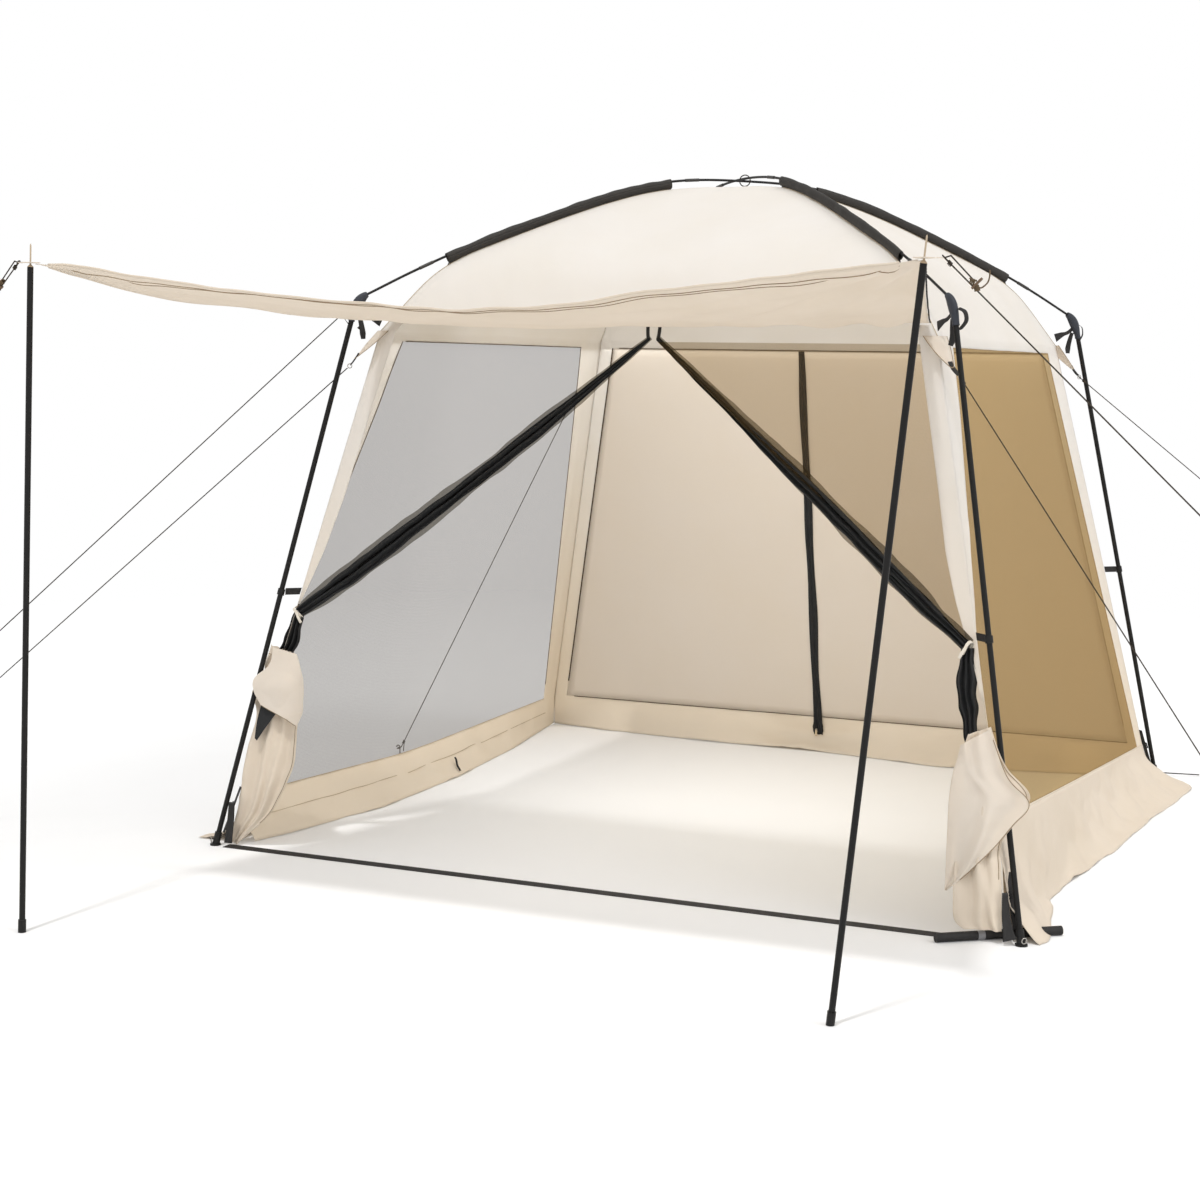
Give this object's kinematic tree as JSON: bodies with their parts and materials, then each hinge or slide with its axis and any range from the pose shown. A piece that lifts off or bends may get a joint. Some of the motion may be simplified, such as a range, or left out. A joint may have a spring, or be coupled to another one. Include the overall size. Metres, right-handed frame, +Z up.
{
  "type": "screen house shelter",
  "caption": "Square domed screen shelter on splayed legs, with mesh walls, tied-back front net and a front awning raised on guyed poles.",
  "frame": {"origin": "middle of the doorway threshold, on the ground between the two front feet", "axes": "+Z up, -Y out of the doorway towards the awning, +X to the right seen from the front"},
  "size_m": [7.1696, 5.2241, 2.7422],
  "materials": {
    "cream_canvas": "woven",
    "awning_canvas": "woven",
    "window_mesh": "fine net",
    "door_net": "gathered fine net",
    "black_webbing": "woven",
    "sleeve_cloth": "woven",
    "black_steel": "satin black",
    "pole_rod": "gloss",
    "ferrule_metal": "satin",
    "elbow_plastic": "moulded",
    "black_plastic": "moulded",
    "ring_metal": "brushed",
    "stake_metal": "galvanised",
    "line_cord": "woven",
    "runner_plastic": "moulded",
    "zip_metal": "brushed",
    "zip_tape": "woven",
    "pull_tab": "moulded",
    "band_grey": "satin"
  },
  "bodies": {
    "shelter": {"leg_sections_lower": "black_steel", "leg_sections_upper": "black_steel", "leg_sections_top": "black_steel", "foot_caps": "black_plastic", "foot_rings": "ring_metal", "elbow_connectors": "elbow_plastic", "elbow_straps": "black_webbing", "roof_pole_lower": "pole_rod", "roof_pole_upper": "pole_rod", "roof_pole_ferrules": "ferrule_metal", "peak_tie_ring": "line_cord", "roof_gore_front": "cream_canvas", "roof_gore_right": "cream_canvas", "roof_gore_rear": "cream_canvas", "roof_gore_left": "cream_canvas", "pole_sleeves": "sleeve_cloth", "roof_corner_flaps": "cream_canvas", "roof_corner_rings": "ring_metal", "corner_columns_front": "cream_canvas", "corner_columns_rear": "cream_canvas", "eave_bands": "cream_canvas", "wall_hems": "cream_canvas", "window_mesh_left": "window_mesh", "window_mesh_right": "window_mesh", "rear_sun_panel": "cream_canvas", "ground_skirts": "cream_canvas", "threshold_webbing": "black_webbing", "rear_zip_strip": "zip_tape", "door_mesh_left": "door_net", "door_mesh_right": "door_net", "door_tie_backs": "cream_canvas", "door_hem_left": "cream_canvas", "door_hem_right": "cream_canvas", "door_top_ribbons": "cream_canvas", "leg_clips": "black_plastic", "leg_clip_straps": "black_webbing", "foot_webbing": "black_webbing", "foot_buckles": "black_plastic", "ground_bar": "black_webbing", "ground_bar_band": "band_grey", "guy_lines": "line_cord", "rear_foot_ground_strap": "black_webbing", "stakes": "stake_metal"},
    "awning": {"awning_panel": "awning_canvas", "awning_front_hem": "awning_canvas", "awning_zip_edges": "black_webbing", "awning_corner_patches": "awning_canvas", "awning_grommets": "ring_metal"},
    "awning_pole_left": {"awning_pole_left": "black_steel", "awning_pole_spike_left": "black_steel", "awning_pole_foot_left": "black_plastic"},
    "awning_guy_left": {"awning_guy_line_left": "line_cord"},
    "line_runner_left": {"line_runner_left": "runner_plastic"},
    "awning_pole_right": {"awning_pole_right": "black_steel", "awning_pole_spike_right": "black_steel", "awning_pole_foot_right": "black_plastic"},
    "awning_guy_right": {"awning_guy_line_right": "line_cord"},
    "line_runner_right": {"line_runner_right": "runner_plastic"},
    "zip_slider": {"zip_slider": "zip_metal"},
    "zip_pull": {"zip_pull": "pull_tab"}
  },
  "joints": [
    {"name": "awning_fold", "type": "hinge", "parent": "shelter", "child": "awning", "pos_m": [0, 0.4635, 1.955], "axis": [1, 0, 0], "range_deg": [0, 62]},
    {"name": "awning_pole_left_fall", "type": "hinge", "parent": "shelter", "child": "awning_pole_left", "pos_m": [-1.386, -1.267, 0], "axis": [1, 0, 0], "range_deg": [0, 70.15]},
    {"name": "awning_guy_left_drop", "type": "hinge", "parent": "awning", "child": "awning_guy_left", "pos_m": [-1.45061, -1.13817, 2.083], "axis": [-0.7996, 0.5998, 0.0295], "range_deg": [0, 69.24]},
    {"name": "line_runner_left_slide", "type": "slide", "parent": "awning_guy_left", "child": "line_runner_left", "axis": [-0.7132, 0.0868, -0.6955], "range_m": [0, 0.12]},
    {"name": "awning_pole_right_fall", "type": "hinge", "parent": "shelter", "child": "awning_pole_right", "pos_m": [1.178, -1.035, 0], "axis": [1, 0, 0], "range_deg": [0, 70.15]},
    {"name": "awning_guy_right_drop", "type": "hinge", "parent": "awning", "child": "awning_guy_right", "pos_m": [1.45061, -1.13817, 2.083], "axis": [-0.7996, -0.5998, -0.0295], "range_deg": [0, 69.24]},
    {"name": "line_runner_right_slide", "type": "slide", "parent": "awning_guy_right", "child": "line_runner_right", "axis": [0.7132, 0.0868, -0.6955], "range_m": [0, 0.12]},
    {"name": "zip_slider_travel", "type": "slide", "parent": "shelter", "child": "zip_slider", "axis": [0, -0.2139, 0.9768], "range_m": [0, 1.74]},
    {"name": "zip_pull_swing", "type": "hinge", "parent": "zip_slider", "child": "zip_pull", "pos_m": [-0.075, 2.93964, 0.08189], "axis": [-1, 0, 0], "range_deg": [0, 150]}
  ],
  "couplings": [
    {"joint": "awning_pole_left_fall", "follows": "awning_fold", "ratio": 1.1282},
    {"joint": "awning_guy_left_drop", "follows": "awning_fold", "ratio": 1.1136},
    {"joint": "awning_pole_right_fall", "follows": "awning_fold", "ratio": 1.1282},
    {"joint": "awning_guy_right_drop", "follows": "awning_fold", "ratio": 1.1136}
  ]
}
